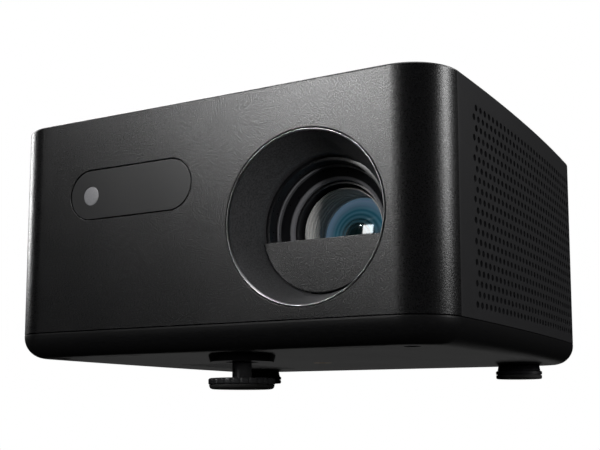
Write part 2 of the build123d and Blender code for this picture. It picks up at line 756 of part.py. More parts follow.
def make_sensor_board():
    y0 = FRONT + 12
    board = block(WINDOW_X - 35, WINDOW_X + 35, y0, y0 + 1.2, WINDOW_Z - 11, WINDOW_Z + 11)
    board += rod_y(4.5, CAMERA_X, WINDOW_Z - 0.5, FRONT + WALL + 0.5, y0)  # camera
    # ranging sensor
    board += block(WINDOW_X - 3, WINDOW_X + 5, FRONT + 6, y0, WINDOW_Z - 3, WINDOW_Z + 3)
    return board + rod_y(3, WINDOW_X + 22, WINDOW_Z, FRONT + 5, y0)  # remote control receiver


def make_window_frame():
    """Carrier glued behind the front wall that holds the sensor window and its board."""
    y0 = FRONT + WALL
    frame = stadium(WINDOW_W + 8, WINDOW_H + 8, y0 + 0.05, y0 + 2, WINDOW_X, WINDOW_Z)
    frame -= stadium(WINDOW_W - 5, WINDOW_H - 5, y0 - 1, y0 + 3, WINDOW_X, WINDOW_Z)
    for x in (WINDOW_X - 30, WINDOW_X + 30):
        for z in (WINDOW_Z - 12.5, WINDOW_Z + 12.5):
            frame += rod_y(1.4, x, z, y0 + 1, FRONT + 13.2)
    return frame


# Feet


def make_rear_feet():
    r = REAR_FOOT_R
    low = FRONT_FOOT_OUT
    flange = [(r - 0.8, low + 2.2), (r - 0.8, low + 2.6), (r, low + 2.8), (r, low + 4.4)]
    neck = [(r - 1, low + 5), (r - 1.6, BOTTOM), (4, BOTTOM), (4, FLOOR + 2)]
    profile = [(0, low + 2.2)] + flange + neck + [(0, FLOOR + 2)]
    return [turned_z(profile, side * REAR_FOOT_X, REAR_FOOT_Y) for side in (-1, 1)]


def make_rear_foot_pads():
    r = REAR_FOOT_R - 0.1
    low = FRONT_FOOT_OUT
    profile = [(0, low), (r - 0.5, low), (r, low + 0.5), (r, low + 2.2), (0, low + 2.2)]
    return [turned_z(profile, side * REAR_FOOT_X, REAR_FOOT_Y) for side in (-1, 1)]


def make_foot_bushing():
    bore = SPINDLE_R + 0.06
    r = FOOT_HOLE_R
    barrel = [(bore, FLOOR + 16), (bore, BOTTOM - 2), (r, BOTTOM - 2), (r, FLOOR)]
    flange = [(r + 3.5, FLOOR), (r + 3.5, FLOOR + 3), (r, FLOOR + 3), (r, FLOOR + 16)]
    return turned_z(barrel + flange, 0, FRONT_FOOT_Y)


def make_foot_spindle():
    bore = PAD_STEM_R + 0.06
    r = FRONT_KNOB_R
    knob = [(bore, 2.35), (r - 0.4, 2.35), (r, 2.8), (r, 5.0), (r - 0.6, 5.6), (SPINDLE_R, 5.6)]
    rod = [(SPINDLE_R, SPINDLE_TOP), (0, SPINDLE_TOP), (0, 8.6), (bore, 8.6)]
    spindle = turned_z(knob + rod, 0, FRONT_FOOT_Y)
    for k in range(KNOB_GROOVES):
        groove = rod_z(0.8, r + 0.4, 0, 1, 7)
        spindle -= Pos(0, FRONT_FOOT_Y, 0) * Rot(0, 0, 360 / KNOB_GROOVES * k) * groove
    return spindle


def make_foot_pad():
    r = FRONT_KNOB_R - 0.4
    disc = [(0, 0), (r - 1.6, 0), (r - 0.5, 0.5), (r, 1.6), (r, 2.2)]
    stem = [(PAD_STEM_R, 2.2), (PAD_STEM_R, 8.2), (0, 8.2)]
    return turned_z(disc + stem, 0, FRONT_FOOT_Y)


def make_stand_thread():
    """Brass insert with the bore of a quarter inch stand screw."""
    insert = rod_z(INSERT_R, 0, STAND_Y, BOTTOM, FLOOR + 6)
    return insert - rod_z(STAND_BORE_R, 0, STAND_Y, BOTTOM - 1, BOTTOM + 8)


def build():
    wall = casing_wall()
    pieces = {
        "base_tray": make_base_tray(),
        "front_shell": make_front_shell(wall),
        "left_side_grille": make_side_grille(wall, -1),
        "right_side_grille": make_side_grille(wall, 1),
        "rear_panel": make_rear_panel(wall),
        "top_cover": make_top_cover(),
        "power_button": make_power_button(),
        "button_switch": make_button_switch(),
        "lens_trim_ring": make_lens_trim_ring(),
        "lens_funnel": make_lens_funnel(),
        "lens_shroud": make_lens_shroud(),
        "lens_bezel": make_lens_bezel(),
        "lens_tube": make_lens_tube(),
        "front_lens_cell": make_front_cell(),
        "front_lens_glass": lens_glass(GLASS_R, 63, 67, 4, 1.5),
        "rear_lens_cell": make_rear_cell(),
        "rear_lens_glass": lens_glass(REAR_GLASS_R, 86, 91, 2, 3),
        "focus_ring_gear": make_focus_ring(),
        "focus_pinion": make_focus_pinion(),
        "focus_motor_bracket": make_focus_bracket(),
        "focus_motor": make_focus_motor(),
        "engine_housing": make_engine_housing(),
        "engine_lid": make_engine_lid(),
        "prism": make_prism(),
        "dichroic_plates": make_dichroic_plates(),
        "condenser_lenses": make_condenser_lenses(),
        "led_modules": make_led_modules(),
        "heat_spreader": make_heat_spreader(),
        "heat_pipes": make_heat_pipes(),
        "fin_stack": make_fin_stack(),
        "imager_board": make_imager_board(),
        "imager_heatsink": make_imager_heatsink(),
        "imager_ribbon": make_imager_ribbon(),
        "intake_fan_frame": in_fan_place(fan_frame(), -1),
        "intake_fan_rotor": in_fan_place(fan_rotor(), -1),
        "exhaust_fan_frame": in_fan_place(fan_frame(), 1),
        "exhaust_fan_rotor": in_fan_place(fan_rotor(), 1),
        "dust_filter": make_dust_filter(),
        "left_speaker_box": make_speaker_box(-1, LEFT_BOX_W),
        "right_speaker_box": make_speaker_box(1, RIGHT_BOX_W),
        "speaker_drivers": [in_speaker_place(speaker_driver(), side) for side in (-1, 1)],
        "speaker_cones": [in_speaker_place(speaker_cone(), side) for side in (-1, 1)],
        "main_board": make_main_board(),
        "main_heatsink": make_main_heatsink(),
        "port_sockets": [socket_shell(x, width, height) for x, width, height in PORTS],
        "audio_jack": make_audio_jack(),
        "power_inlet": make_power_inlet(),
        "power_supply_board": make_supply_board(),
        "power_supply_parts": make_supply_parts(),
        "screws": make_case_screws() + make_board_screws(),
        "sensor_window": make_sensor_window(),
        "camera_cover": make_camera_cover(),
        "window_frame": make_window_frame(),
        "sensor_board": make_sensor_board(),
        "rear_feet": make_rear_feet(),
        "rear_foot_pads": make_rear_foot_pads(),
        "foot_bushing": make_foot_bushing(),
        "foot_spindle": make_foot_spindle(),
        "foot_pad": make_foot_pad(),
        "stand_thread": make_stand_thread(),
    }
    return pieces


for name, piece in build().items():
    group = piece if isinstance(piece, list) else [piece]
    solids = [solid for member in group for solid in member.solids()]
    export_step(Compound(solids), f"parts/{name}.step", write_pcurves=False)
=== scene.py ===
import json
import math

import bmesh
import bpy
import numpy as np
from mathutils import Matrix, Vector

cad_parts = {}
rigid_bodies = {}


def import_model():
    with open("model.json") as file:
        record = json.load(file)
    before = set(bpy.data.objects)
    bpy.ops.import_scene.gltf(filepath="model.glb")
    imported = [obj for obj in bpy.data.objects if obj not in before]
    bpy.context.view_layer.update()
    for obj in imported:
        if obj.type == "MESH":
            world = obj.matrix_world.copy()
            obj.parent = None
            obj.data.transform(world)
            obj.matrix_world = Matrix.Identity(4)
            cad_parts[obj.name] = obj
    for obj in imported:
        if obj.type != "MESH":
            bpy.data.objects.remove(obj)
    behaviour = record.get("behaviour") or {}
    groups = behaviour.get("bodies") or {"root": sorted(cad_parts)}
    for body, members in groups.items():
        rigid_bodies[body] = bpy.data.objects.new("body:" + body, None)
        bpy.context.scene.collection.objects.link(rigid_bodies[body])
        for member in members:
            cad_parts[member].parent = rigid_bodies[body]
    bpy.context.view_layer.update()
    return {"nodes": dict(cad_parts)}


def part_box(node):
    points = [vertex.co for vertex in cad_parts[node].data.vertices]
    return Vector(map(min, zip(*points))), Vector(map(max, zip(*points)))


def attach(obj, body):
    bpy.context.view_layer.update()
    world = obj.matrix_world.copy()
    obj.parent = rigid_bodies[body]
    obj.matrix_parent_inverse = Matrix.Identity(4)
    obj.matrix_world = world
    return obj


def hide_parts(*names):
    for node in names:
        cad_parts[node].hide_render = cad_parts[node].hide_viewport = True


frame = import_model()
scene = bpy.context.scene
mm = 0.001
print("frame loaded")

# materials: arithmetic on sockets writes the nodes


class Signal:
    # one output socket; + - * and the named helpers add Math nodes
    def __init__(self, paint, socket):
        self.paint = paint
        self.socket = socket

    def join(self, operation, *others):
        values = [self, *others]
        return self.paint.node("ShaderNodeMath", values, operation=operation)

    def __add__(self, other):
        return self.join("ADD", other)

    def __mul__(self, other):
        return self.join("MULTIPLY", other)

    def __sub__(self, other):
        return self.join("SUBTRACT", other)

    def __rsub__(self, other):
        return self.paint.node("ShaderNodeMath", [other, self], operation="SUBTRACT")

    __radd__ = __add__
    __rmul__ = __mul__

    def power(self, exponent):
        return self.join("POWER", exponent)

    def root(self):
        return self.join("SQRT")

    def wave(self):
        return self.join("SINE")

    def band(self, low, high, start=0.0, end=1.0):
        # smooth step from start to end while the signal goes from low to high
        sockets = {"Value": self, "From Min": low, "From Max": high, "To Min": start, "To Max": end}
        return self.paint.node("ShaderNodeMapRange", sockets, interpolation_type="SMOOTHSTEP")


class Paint:
    # one material around a Principled shader
    def __init__(self, name, **constants):
        self.material = bpy.data.materials.new(name)
        self.material.use_nodes = True
        self.tree = self.material.node_tree
        self.shader = self.tree.nodes["Principled BSDF"]
        for socket, value in constants.items():
            self.shader.inputs[socketName(socket)].default_value = value

    def node(self, kind, inputs=(), output=0, **settings):
        made = self.tree.nodes.new(kind)
        for key, value in settings.items():
            setattr(made, key, value)
        named = inputs.items() if isinstance(inputs, dict) else enumerate(inputs)
        for key, value in named:
            if isinstance(value, Signal):
                self.tree.links.new(value.socket, made.inputs[key])
            elif value is not None:
                made.inputs[key].default_value = value
        return Signal(self, made.outputs[output])

    def place(self):
        return self.node("ShaderNodeTexCoord", output="Object")

    def axes(self):
        # x, y and z of the object coordinates, in metres
        split = self.node("ShaderNodeSeparateXYZ", [self.place()])
        outs = split.socket.node.outputs
        return [Signal(self, outs[i]) for i in range(3)]

    def noise(self, scale, detail=2.0, roughness=0.5):
        sockets = {"Vector": self.place(), "Scale": scale, "Detail": detail, "Roughness": roughness}
        return self.node("ShaderNodeTexNoise", sockets, normalize=True)

    def mix(self, factor, first, second):
        # colour between two colours
        sockets = {"Factor": factor, 6: rgba(first), 7: rgba(second)}
        return self.node("ShaderNodeMix", sockets, output=2, data_type="RGBA")

    def feed(self, socket, signal):
        self.tree.links.new(signal.socket, self.shader.inputs[socket])

    def bump(self, height, strength, distance):
        sockets = {"Strength": strength, "Distance": distance, "Height": height}
        self.feed("Normal", self.node("ShaderNodeBump", sockets))

    def radius(self, x, z):
        # distance from a line along Y through (x, z)
        px, py, pz = self.axes()
        return ((px - x).power(2) + (pz - z).power(2)).root()


def socketName(word):
    # baseColor -> Base Color
    spaced = "".join(" " + c if c.isupper() else c for c in word)
    return spaced.title().replace("Ior", "IOR").replace("IORLevel", "IOR Level")


def rgba(value):
    return value if isinstance(value, Signal) or len(value) == 4 else (*value, 1.0)


# mesh helpers: every surface is a grid of points worked out as whole arrays


def gridFaces(rows, columns, loopRows=False, loopColumns=False):
    # quads between neighbours of a rows x columns grid, wrapped round where a direction loops
    r = np.arange(rows if loopRows else rows - 1)
    c = np.arange(columns if loopColumns else columns - 1)
    r, c = np.meshgrid(r, c, indexing="ij")
    r2, c2 = (r + 1) % rows, (c + 1) % columns
    corners = (r * columns + c, r * columns + c2, r2 * columns + c2, r2 * columns + c)
    return np.stack(corners, axis=-1).reshape(-1, 4)


def makePiece(name, points, faces):
    # mesh object from points and faces, doubles merged, normals outwards
    mesh = bpy.data.meshes.new(name)
    mesh.from_pydata(np.asarray(points, float).reshape(-1, 3).tolist(), [], [list(f) for f in faces])
    work = bmesh.new()
    work.from_mesh(mesh)
    bmesh.ops.remove_doubles(work, verts=work.verts, dist=2e-6)
    bmesh.ops.recalc_face_normals(work, faces=work.faces)
    work.to_mesh(mesh)
    work.free()
    piece = bpy.data.objects.new(name, mesh)
    scene.collection.objects.link(piece)
    smooth(piece)
    return piece


def smooth(piece):
    # smooth everywhere but over edges that turn by more than 30 degrees
    piece.data.shade_smooth()
    piece.data.set_sharp_from_angle(angle=math.radians(30))


def rounded(corners, radius, steps=5, closed=True):
    # corners softened by a parabola that starts and ends one radius (or 0.45 of the edge) from each
    p = np.asarray(corners, float)
    before, after = np.roll(p, 1, axis=0) - p, np.roll(p, -1, axis=0) - p
    r = np.broadcast_to(np.asarray(radius, float), len(p))
    lenB, lenA = np.linalg.norm(before, axis=1), np.linalg.norm(after, axis=1)
    if not closed:
        r = r.copy()
        r[[0, -1]] = 0
    a = p + before / lenB[:, None] * np.minimum(r, 0.45 * lenB)[:, None]
    b = p + after / lenA[:, None] * np.minimum(r, 0.45 * lenA)[:, None]
    t = np.linspace(0, 1, steps)[None, :, None]
    curve = (1 - t) ** 2 * a[:, None] + 2 * t * (1 - t) * p[:, None] + t**2 * b[:, None]
    flat = curve.reshape(-1, 2)
    keep = np.r_[True, np.linalg.norm(np.diff(flat, axis=0), axis=1) > 1e-7]
    return flat[keep]


def turned(name, profile, centre, axis="y", segments=144):
    # closed profile of (radius, distance along the axis) carried once round the y or z axis
    profile = np.asarray(profile, float)
    turn = np.linspace(0, 2 * math.pi, segments, endpoint=False)
    across, up = np.outer(np.cos(turn), profile[:, 0]), np.outer(np.sin(turn), profile[:, 0])
    along = np.broadcast_to(profile[:, 1], across.shape)
    order = (across, along, up) if axis == "y" else (across, up, along)
    points = np.stack(order, axis=-1) + np.asarray(centre, float)
    return makePiece(name, points, gridFaces(segments, len(profile), True, True))


def carried(name, points):
    # rows of one closed section, row after row along a path, with a flat cap at both ends
    n, m = points.shape[:2]
    faces = gridFaces(n, m, False, True).tolist()
    faces += [list(range(m)), list(range((n - 1) * m, n * m))]
    return makePiece(name, points, faces)


def carve(piece, cutter):
    # takes the cutter's volume out of the piece, then removes the cutter
    cut = piece.modifiers.new("carve", "BOOLEAN")
    cut.object = cutter
    cut.solver = "EXACT"
    applyModifiers(piece)
    bpy.data.objects.remove(cutter)
    return piece


def applyModifiers(piece):
    bpy.context.view_layer.update()
    baked = bpy.data.meshes.new_from_object(piece.evaluated_get(bpy.context.evaluated_depsgraph_get()))
    piece.modifiers.clear()
    piece.data = baked
    smooth(piece)
    return piece


def finishPiece(piece, body, slot, paint, *replaced):
    piece.data.materials.clear()
    piece.data.materials.append(paint.material)
    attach(piece, body)
    if replaced:
        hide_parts(*replaced)


def middle(node):
    # x, y and z of the middle of a CAD node's box, and half its width
    low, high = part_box(node)
    return (low.x + high.x) / 2, (low.y + high.y) / 2, (low.z + high.z) / 2, (high.x - low.x) / 2


# the casing's outline seen from above

casing = {
    "bow": 3.8 * mm,  # how far the sides stand out at their middle
    "cornerR": 25.0 * mm,
    "cornerSteps": 120,
    "sideSteps": 400,
    "wall": 2.5 * mm,
    "topEdgeR": 1.2 * mm,
    "topInnerEdge": 0.2 * mm,
    "lowEdge": (0.25 * mm, 0.07 * mm),  # wall's lower edge: reach of its rounding, inset of its middle point
}
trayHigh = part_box("base_tray")[1]
shellLow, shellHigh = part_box("front_shell")
halfW = trayHigh.x - casing["bow"]
halfD = trayHigh.y
top = shellHigh.z
seamZ = shellLow.z
frontSplit = shellHigh.y


def planOutline():
    # closed outline from the front's middle: straight, corner arc, long side arc, corner arc, straight,
    # each point with its outward normal and its distance travelled
    r, bow = casing["cornerR"], casing["bow"]
    bigR = (halfD**2 + bow**2) / (2 * bow)
    bigX = halfW + bow - bigR
    yc = halfD - r
    xc = bigX + math.sqrt((bigR - r) ** 2 - yc**2)
    lean = math.asin(yc / (bigR - r))
    corner = np.linspace(-math.pi / 2, -lean, casing["cornerSteps"])
    side = np.linspace(-lean, lean, casing["sideSteps"])[1:-1]
    x = np.r_[xc + r * np.cos(corner), bigX + bigR * np.cos(side), xc + r * np.cos(-corner[::-1])]
    y = np.r_[-yc + r * np.sin(corner), bigR * np.sin(side), yc + r * np.sin(-corner[::-1])]
    a = np.r_[corner, side, -corner[::-1]]
    nx, ny = np.cos(a), np.sin(a)
    x = np.r_[0, x, 0, -x[::-1], 0]
    y = np.r_[-halfD, y, halfD, y[::-1], -halfD]
    nx, ny = np.r_[0, nx, 0, -nx[::-1], 0], np.r_[-1, ny, 1, ny[::-1], -1]
    travel = np.r_[0, np.cumsum(np.hypot(np.diff(x), np.diff(y)))]
    return {"x": x, "y": y, "nx": nx, "ny": ny, "travel": travel}


outline = planOutline()


def onPlan(travel, inset):
    # points at distances travelled along the outline, moved inwards by inset: shape (travel, inset, 2)
    once = outline["travel"]
    at = {k: np.interp(travel, once, outline[k], period=once[-1]) for k in ("x", "y", "nx", "ny")}
    length = np.hypot(at["nx"], at["ny"])
    x = at["x"][:, None] - (at["nx"] / length)[:, None] * inset
    y = at["y"][:, None] - (at["ny"] / length)[:, None] * inset
    return np.stack([x, y], axis=-1)


def travelAt(y):
    # distance travelled where the outline's right half passes depth y
    right = slice(1, len(outline["x"]) // 2)
    ys, ts = outline["y"][right], outline["travel"][right]
    order = np.argsort(ys)
    return float(np.interp(y, ys[order], ts[order]))


def evenTravel(start, stop, step=9 * mm, turn=4.0, samples=2000):
    # stations at equal sums of distance over step and of turning over turn degrees
    dense = np.linspace(start, stop, samples)
    p = onPlan(dense, np.array([0.0, 10 * mm]))
    normal = p[:, 0] - p[:, 1]
    heading = np.unwrap(np.arctan2(normal[:, 1], normal[:, 0]))
    weight = (dense - start) / step + np.abs(heading - heading[0]) / math.radians(turn)
    count = int(math.ceil(weight[-1])) + 1
    return np.interp(np.linspace(0, weight[-1], count), weight, dense)


def casingBand(name, start, stop, section):
    # closed section of (inset, height) carried along the outline from start to stop, capped at both ends
    section = np.asarray(section, float)
    stations = evenTravel(start, stop)
    flat = onPlan(stations, section[:, 0][None, :])
    height = np.broadcast_to(section[:, 1], flat.shape[:2])[..., None]
    return carried(name, np.concatenate([flat, height], axis=-1))


def wallSection():
    # (inset, height): softened lower edge, outer face, quarter circle, flat rim, inner face
    r, wall, inner = casing["topEdgeR"], casing["wall"], casing["topInnerEdge"]
    bevel, nose = casing["lowEdge"]
    arc = np.linspace(math.pi, math.pi / 2, 9)
    edge = np.stack([r + r * np.cos(arc), top - r + r * np.sin(arc)], axis=1)
    lowEdge = [(wall, seamZ), (bevel, seamZ), (nose, seamZ + nose), (0, seamZ + bevel)]
    return np.r_[lowEdge, edge, [(wall - inner, top), (wall, top - inner)]]


# finishes: colour, roughness, spread of both, grain (scale, bump strength, depth in mm), metalness if any

finishes = {
    "shell_paint": ((0.0035, 0.0035, 0.0038), 0.285, 0.6, (1700, 0.5, 0.14)),
    "tray_plastic": ((0.005, 0.005, 0.0053), 0.32, 0.4, (1500, 0.2, 0.12)),
    "grille_plastic": ((0.014, 0.014, 0.015), 0.40, 0.4, (1700, 0.35, 0.15)),
    "cover_plastic": ((0.010, 0.010, 0.011), 0.42, 0.4, (1700, 0.30, 0.1)),
    "button_plastic": ((0.022, 0.022, 0.023), 0.30, 0.12, (1300, 0.10, 0.05)),
    "smoked_window": ((0.007, 0.007, 0.0075), 0.33, 0.06, (700, 0.05, 0.04)),
    "camera_cover": ((0.20, 0.20, 0.21), 0.42, 0.10, (1200, 0.12, 0.05)),
    "polished_trim": ((0.55, 0.55, 0.56), 0.30, 0.06, (900, 0.04, 0.03), 1.0),
    "lens_black": ((0.008, 0.008, 0.009), 0.30, 0.15, (1400, 0.10, 0.05)),
    "lens_grey": ((0.50, 0.49, 0.475), 0.38, 0.10, (1200, 0.08, 0.04)),
    "gear_plastic": ((0.62, 0.60, 0.55), 0.45, 0.10, (900, 0.10, 0.05)),
    "motor_steel": ((0.50, 0.50, 0.51), 0.28, 0.08, (800, 0.06, 0.04), 1.0),
    "cast_metal": ((0.42, 0.42, 0.43), 0.50, 0.20, (600, 0.45, 0.25), 0.9),
    "heat_aluminium": ((0.70, 0.70, 0.71), 0.33, 0.08, (700, 0.08, 0.05), 1.0),
    "copper": ((0.72, 0.36, 0.21), 0.26, 0.14, (400, 0.06, 0.05), 1.0),
    "ribbon": ((0.45, 0.19, 0.035), 0.32, 0.10, (500, 0.05, 0.04)),
    "fan_plastic": ((0.016, 0.016, 0.017), 0.38, 0.12, (900, 0.10, 0.06)),
    "speaker_plastic": ((0.022, 0.022, 0.023), 0.50, 0.18, (1000, 0.25, 0.10)),
    "speaker_metal": ((0.33, 0.33, 0.34), 0.36, 0.10, (700, 0.08, 0.05), 1.0),
    "speaker_cone": ((0.030, 0.029, 0.028), 0.80, 0.30, (1100, 0.45, 0.15)),
    "socket_metal": ((0.62, 0.62, 0.63), 0.25, 0.06, (800, 0.05, 0.03), 1.0),
    "socket_plastic": ((0.014, 0.014, 0.015), 0.42, 0.12, (1000, 0.12, 0.06)),
    "screw_steel": ((0.46, 0.46, 0.47), 0.32, 0.10, (900, 0.08, 0.04), 1.0),
    "foot_plastic": ((0.009, 0.009, 0.010), 0.45, 0.16, (1200, 0.18, 0.08)),
    "foot_rubber": ((0.012, 0.012, 0.012), 0.78, 0.28, (1000, 0.40, 0.15)),
    "foot_metal": ((0.035, 0.035, 0.037), 0.34, 0.10, (900, 0.08, 0.05), 0.6),
    "brass_insert": ((0.66, 0.47, 0.20), 0.30, 0.12, (600, 0.08, 0.05), 1.0),
    "funnel_painted_light": ((0.05, 0.05, 0.052), 0.38, 0.5, (1150, 0.5, 0.2)),  # lighter copy of the shell paint: painted light on the cone's walls
    "rear_paint": ((0.016, 0.016, 0.017), 0.42, 0.5, (1500, 0.5, 0.2)),  # rear panel: lighter copy of the shell paint, its lighter colour painted light for the dim rear, its higher roughness a matte plastic
}


def grainedPaint(name, colour, rough, spread, grain, metal=0.0):
    # plain finish: fine mottled colour and roughness over a shallow grain, with a few broad smudges;
    # both kinds of spot swing the roughness evenly to either side of its middle
    scale, strength, depth = grain
    smudgeSwing, speckSwing = 0.06, spread * 0.1
    paint = Paint(name, metallic=metal, ior=1.5)
    speck = paint.noise(scale, 3.0, 0.65)
    smudge = paint.noise(24.0, 3.0, 0.55)
    spots = speck.band(0.3, 0.7)
    low = tuple(c * (1 - spread) for c in colour)
    high = tuple(c * (1 + spread) for c in colour)
    paint.feed("Base Color", paint.mix(spots, low, high))
    lowest = rough - (smudgeSwing + speckSwing) / 2
    paint.feed("Roughness", smudge * smudgeSwing + spots * speckSwing + lowest)
    paint.bump(speck, strength, depth * mm)
    return paint


# colours painted on the front glass as its reflections, and the strength of its painted glow
paintedLensReflections = {
    "core": (0.002, 0.016, 0.018),
    "body": (0.03, 0.20, 0.30),
    "edge": (0.38, 0.56, 0.80),
    "ring": (0.22, 0.50, 0.66),
    "patch": (0.12, 0.028, 0.014),
    "bodyStart": (6.0 * mm, 14.5 * mm),  # radii between which the core turns into the body colour
    "edgeStart": (13.5 * mm, 19.0 * mm),
    "ringStart": (3.0 * mm, 12.0 * mm),
    "ringWaves": 2600.0,  # radians per metre, so a ring about every 2.4 mm
    "warmReflectionAt": (6.0 * mm, 4.0 * mm),  # right of and above the lens axis; the painted warm reflection grows from here
    # glow of the glass: painted light, the glass is no lamp
    "glow": 0.15,
}


def makeLensGlass(name, x, z):
    # coated front glass with painted reflections: pale blue rim, teal rings, dark core, warm patch low on
    # the right; the little light that it gives off is painted light that stands for what the lens behind it
    # sends back
    gloss = {"ior": 1.62, "specularIorLevel": 0.8, "coatIor": 1.6, "coatRoughness": 0.02}
    paint = Paint(name, emissionStrength=paintedLensReflections["glow"], **gloss)
    radius = paint.radius(x, z)
    px, py, pz = paint.axes()
    across, up = paintedLensReflections["warmReflectionAt"]
    ringReflections = ((radius * paintedLensReflections["ringWaves"]).wave() * 0.5 + 0.5) * radius.band(*paintedLensReflections["ringStart"])
    core = paint.mix(radius.band(*paintedLensReflections["bodyStart"]), paintedLensReflections["core"], paintedLensReflections["body"])
    edge = paint.mix(radius.band(*paintedLensReflections["edgeStart"]), core, paintedLensReflections["edge"])
    withRingReflections = paint.mix(ringReflections * 0.4, edge, paintedLensReflections["ring"])
    # painted warm reflection, low on the right
    warmReflection = (px - (x + across)).band(0.0, 8.0 * mm) * (z + up - pz).band(-4.0 * mm, 6.0 * mm)
    reflectionColour = paint.mix(warmReflection * 0.7, withRingReflections, paintedLensReflections["patch"])
    paint.feed("Base Color", reflectionColour)
    paint.feed("Emission Color", reflectionColour)
    paint.feed("Metallic", radius.band(0.0, 0.02, 0.2, 0.35))
    paint.feed("Roughness", paint.noise(300.0, 2.0) * 0.03 + 0.05)
    paint.feed("Coat Weight", paint.noise(90.0, 2.0).band(0.2, 0.8, 0.8, 1.0))
    return paint


def makeBezelPaint(name, x, z):
    # black stepped ring with a lighter inner lip and a thin lighter step, both painted highlights
    paint = Paint(name, roughness=0.3, ior=1.5)
    radius = paint.radius(x, z)
    lipHighlight = radius.band(25.6 * mm, 26.4 * mm, 1.0, 0.0)
    # painted highlight: a thin lighter band on the step's edge
    step = radius.band(30.2 * mm, 30.4 * mm) * radius.band(30.8 * mm, 31.1 * mm, 1.0, 0.0)
    paint.feed("Base Color", paint.mix(lipHighlight + step, (0.006, 0.006, 0.007), (0.17, 0.17, 0.18)))
    paint.feed("Roughness", paint.noise(500.0, 2.0) * 0.1 + 0.24)
    paint.bump(paint.noise(1200.0, 2.0), 0.1, 0.05 * mm)
    return paint


def makeOpticGlass(name):
    # inner optics: faint cyan glass
    paint = Paint(name, ior=1.52)
    cloud = paint.noise(120.0, 2.0)
    paint.feed("Base Color", paint.mix(cloud.band(0.3, 0.7), (0.30, 0.48, 0.52), (0.42, 0.60, 0.64)))
    paint.feed("Roughness", cloud * 0.06 + 0.04)
    paint.feed("Alpha", cloud.band(0.2, 0.8, 0.45, 0.60))
    return paint


def makeCircuitBoard(name):
    # green lacquer with a faint pattern of tracks: the product of two sine waves, in patches
    paint = Paint(name, ior=1.5)
    px, py, pz = paint.axes()
    track = ((px * 2900.0).wave() * (pz * 2300.0).wave()).band(0.35, 0.55)
    patch = paint.noise(70.0, 2.0).band(0.45, 0.55)
    green = paint.mix(track * patch, (0.008, 0.060, 0.028), (0.030, 0.140, 0.060))
    paint.feed("Base Color", green)
    paint.feed("Roughness", paint.noise(500.0, 2.0) * 0.12 + 0.28)
    paint.bump(track * patch, 0.3, 0.05 * mm)
    return paint


def makeSupplyParts(name):
    # power supply parts: brown at their feet on the board, dark cans and yellow coils above
    paint = Paint(name, ior=1.5)
    px, py, pz = paint.axes()
    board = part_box("power_supply_board")[1].z
    tall = pz.band(board + 0.9 * mm, board + 1.6 * mm)
    blotch = paint.noise(60.0, 1.0).band(0.46, 0.54)
    parts = paint.mix(blotch, (0.02, 0.02, 0.024), (0.42, 0.30, 0.05))
    paint.feed("Base Color", paint.mix(tall, (0.12, 0.07, 0.03), parts))
    paint.feed("Roughness", paint.noise(700.0, 2.0) * 0.15 + 0.35)
    paint.bump(paint.noise(900.0, 2.0), 0.15, 0.08 * mm)
    return paint


def makeFilterMesh(name):
    # woven filter cloth: fine crossed threads, 1.2 mm apart
    paint = Paint(name, ior=1.45)
    px, py, pz = paint.axes()
    threads = 5200.0
    weave = ((py * threads).wave() * 0.5 + 0.5) * ((pz * threads).wave() * 0.5 + 0.5)
    paint.feed("Base Color", paint.mix(weave, (0.006, 0.006, 0.007), (0.032, 0.032, 0.034)))
    paint.feed("Roughness", paint.noise(400.0, 2.0) * 0.1 + 0.7)
    paint.bump(weave, 0.6, 0.2 * mm)
    return paint


lensX, _, lensZ, _ = middle("front_lens_glass")
paints = {slot: grainedPaint(slot, *settings) for slot, settings in finishes.items()}
paints["lens_glass"] = makeLensGlass("lens_glass", lensX, lensZ)
paints["optic_glass"] = makeOpticGlass("optic_glass")
paints["circuit_board"] = makeCircuitBoard("circuit_board")
paints["supply_parts"] = makeSupplyParts("supply_parts")
paints["filter_mesh"] = makeFilterMesh("filter_mesh")
paints["bezel_paint"] = makeBezelPaint("bezel_paint", lensX, lensZ)


def dressCadNodes():
    # every CAD node has one material, named as its slot; the rear panel gets a lighter, rougher one than its
    # slot's, the lighter colour painted light for the dim rear
    bare = []
    for piece in bpy.data.objects:
        if piece.type != "MESH" or not piece.material_slots or not piece.material_slots[0].material:
            continue
        slot = piece.material_slots[0].material.name.split(".")[0]
        if slot in paints:
            for held in piece.material_slots:
                held.material = paints[slot].material
        else:
            bare.append(piece.name)
    for held in frame["nodes"]["rear_panel"].material_slots:
        held.material = paints["rear_paint"].material
    print("finishes made:", len(paints), "nodes without one:", bare)


dressCadNodes()


# front shell: a band round the front of the casing, with two openings

frontY = shellLow.y
openings = {
    "ringGap": 0.6 * mm,  # all round the trim ring
    "windowGap": 0.35 * mm,
    "edge": 0.3 * mm,  # radius of both openings' edges
    "reach": 8 * mm,  # how far the cutters stand out on both sides of the front face
}
rimR = middle("lens_trim_ring")[3]
windowLow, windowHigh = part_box("sensor_window")
windowX, _, windowZ, _ = middle("sensor_window")


def stadiumOutline(width, height, steps=40):
    # two half circles joined by straight edges, anticlockwise seen from the front: point and outward normal
    r = height / 2
    half = width / 2 - r
    turn = np.linspace(-math.pi / 2, math.pi / 2, steps)
    nx = np.r_[np.cos(turn), -np.cos(turn)]
    nz = np.r_[np.sin(turn), -np.sin(turn)]
    x = nx * r + np.r_[np.full(steps, half), np.full(steps, -half)]
    return np.stack([x, nz * r, nx, nz], axis=1)


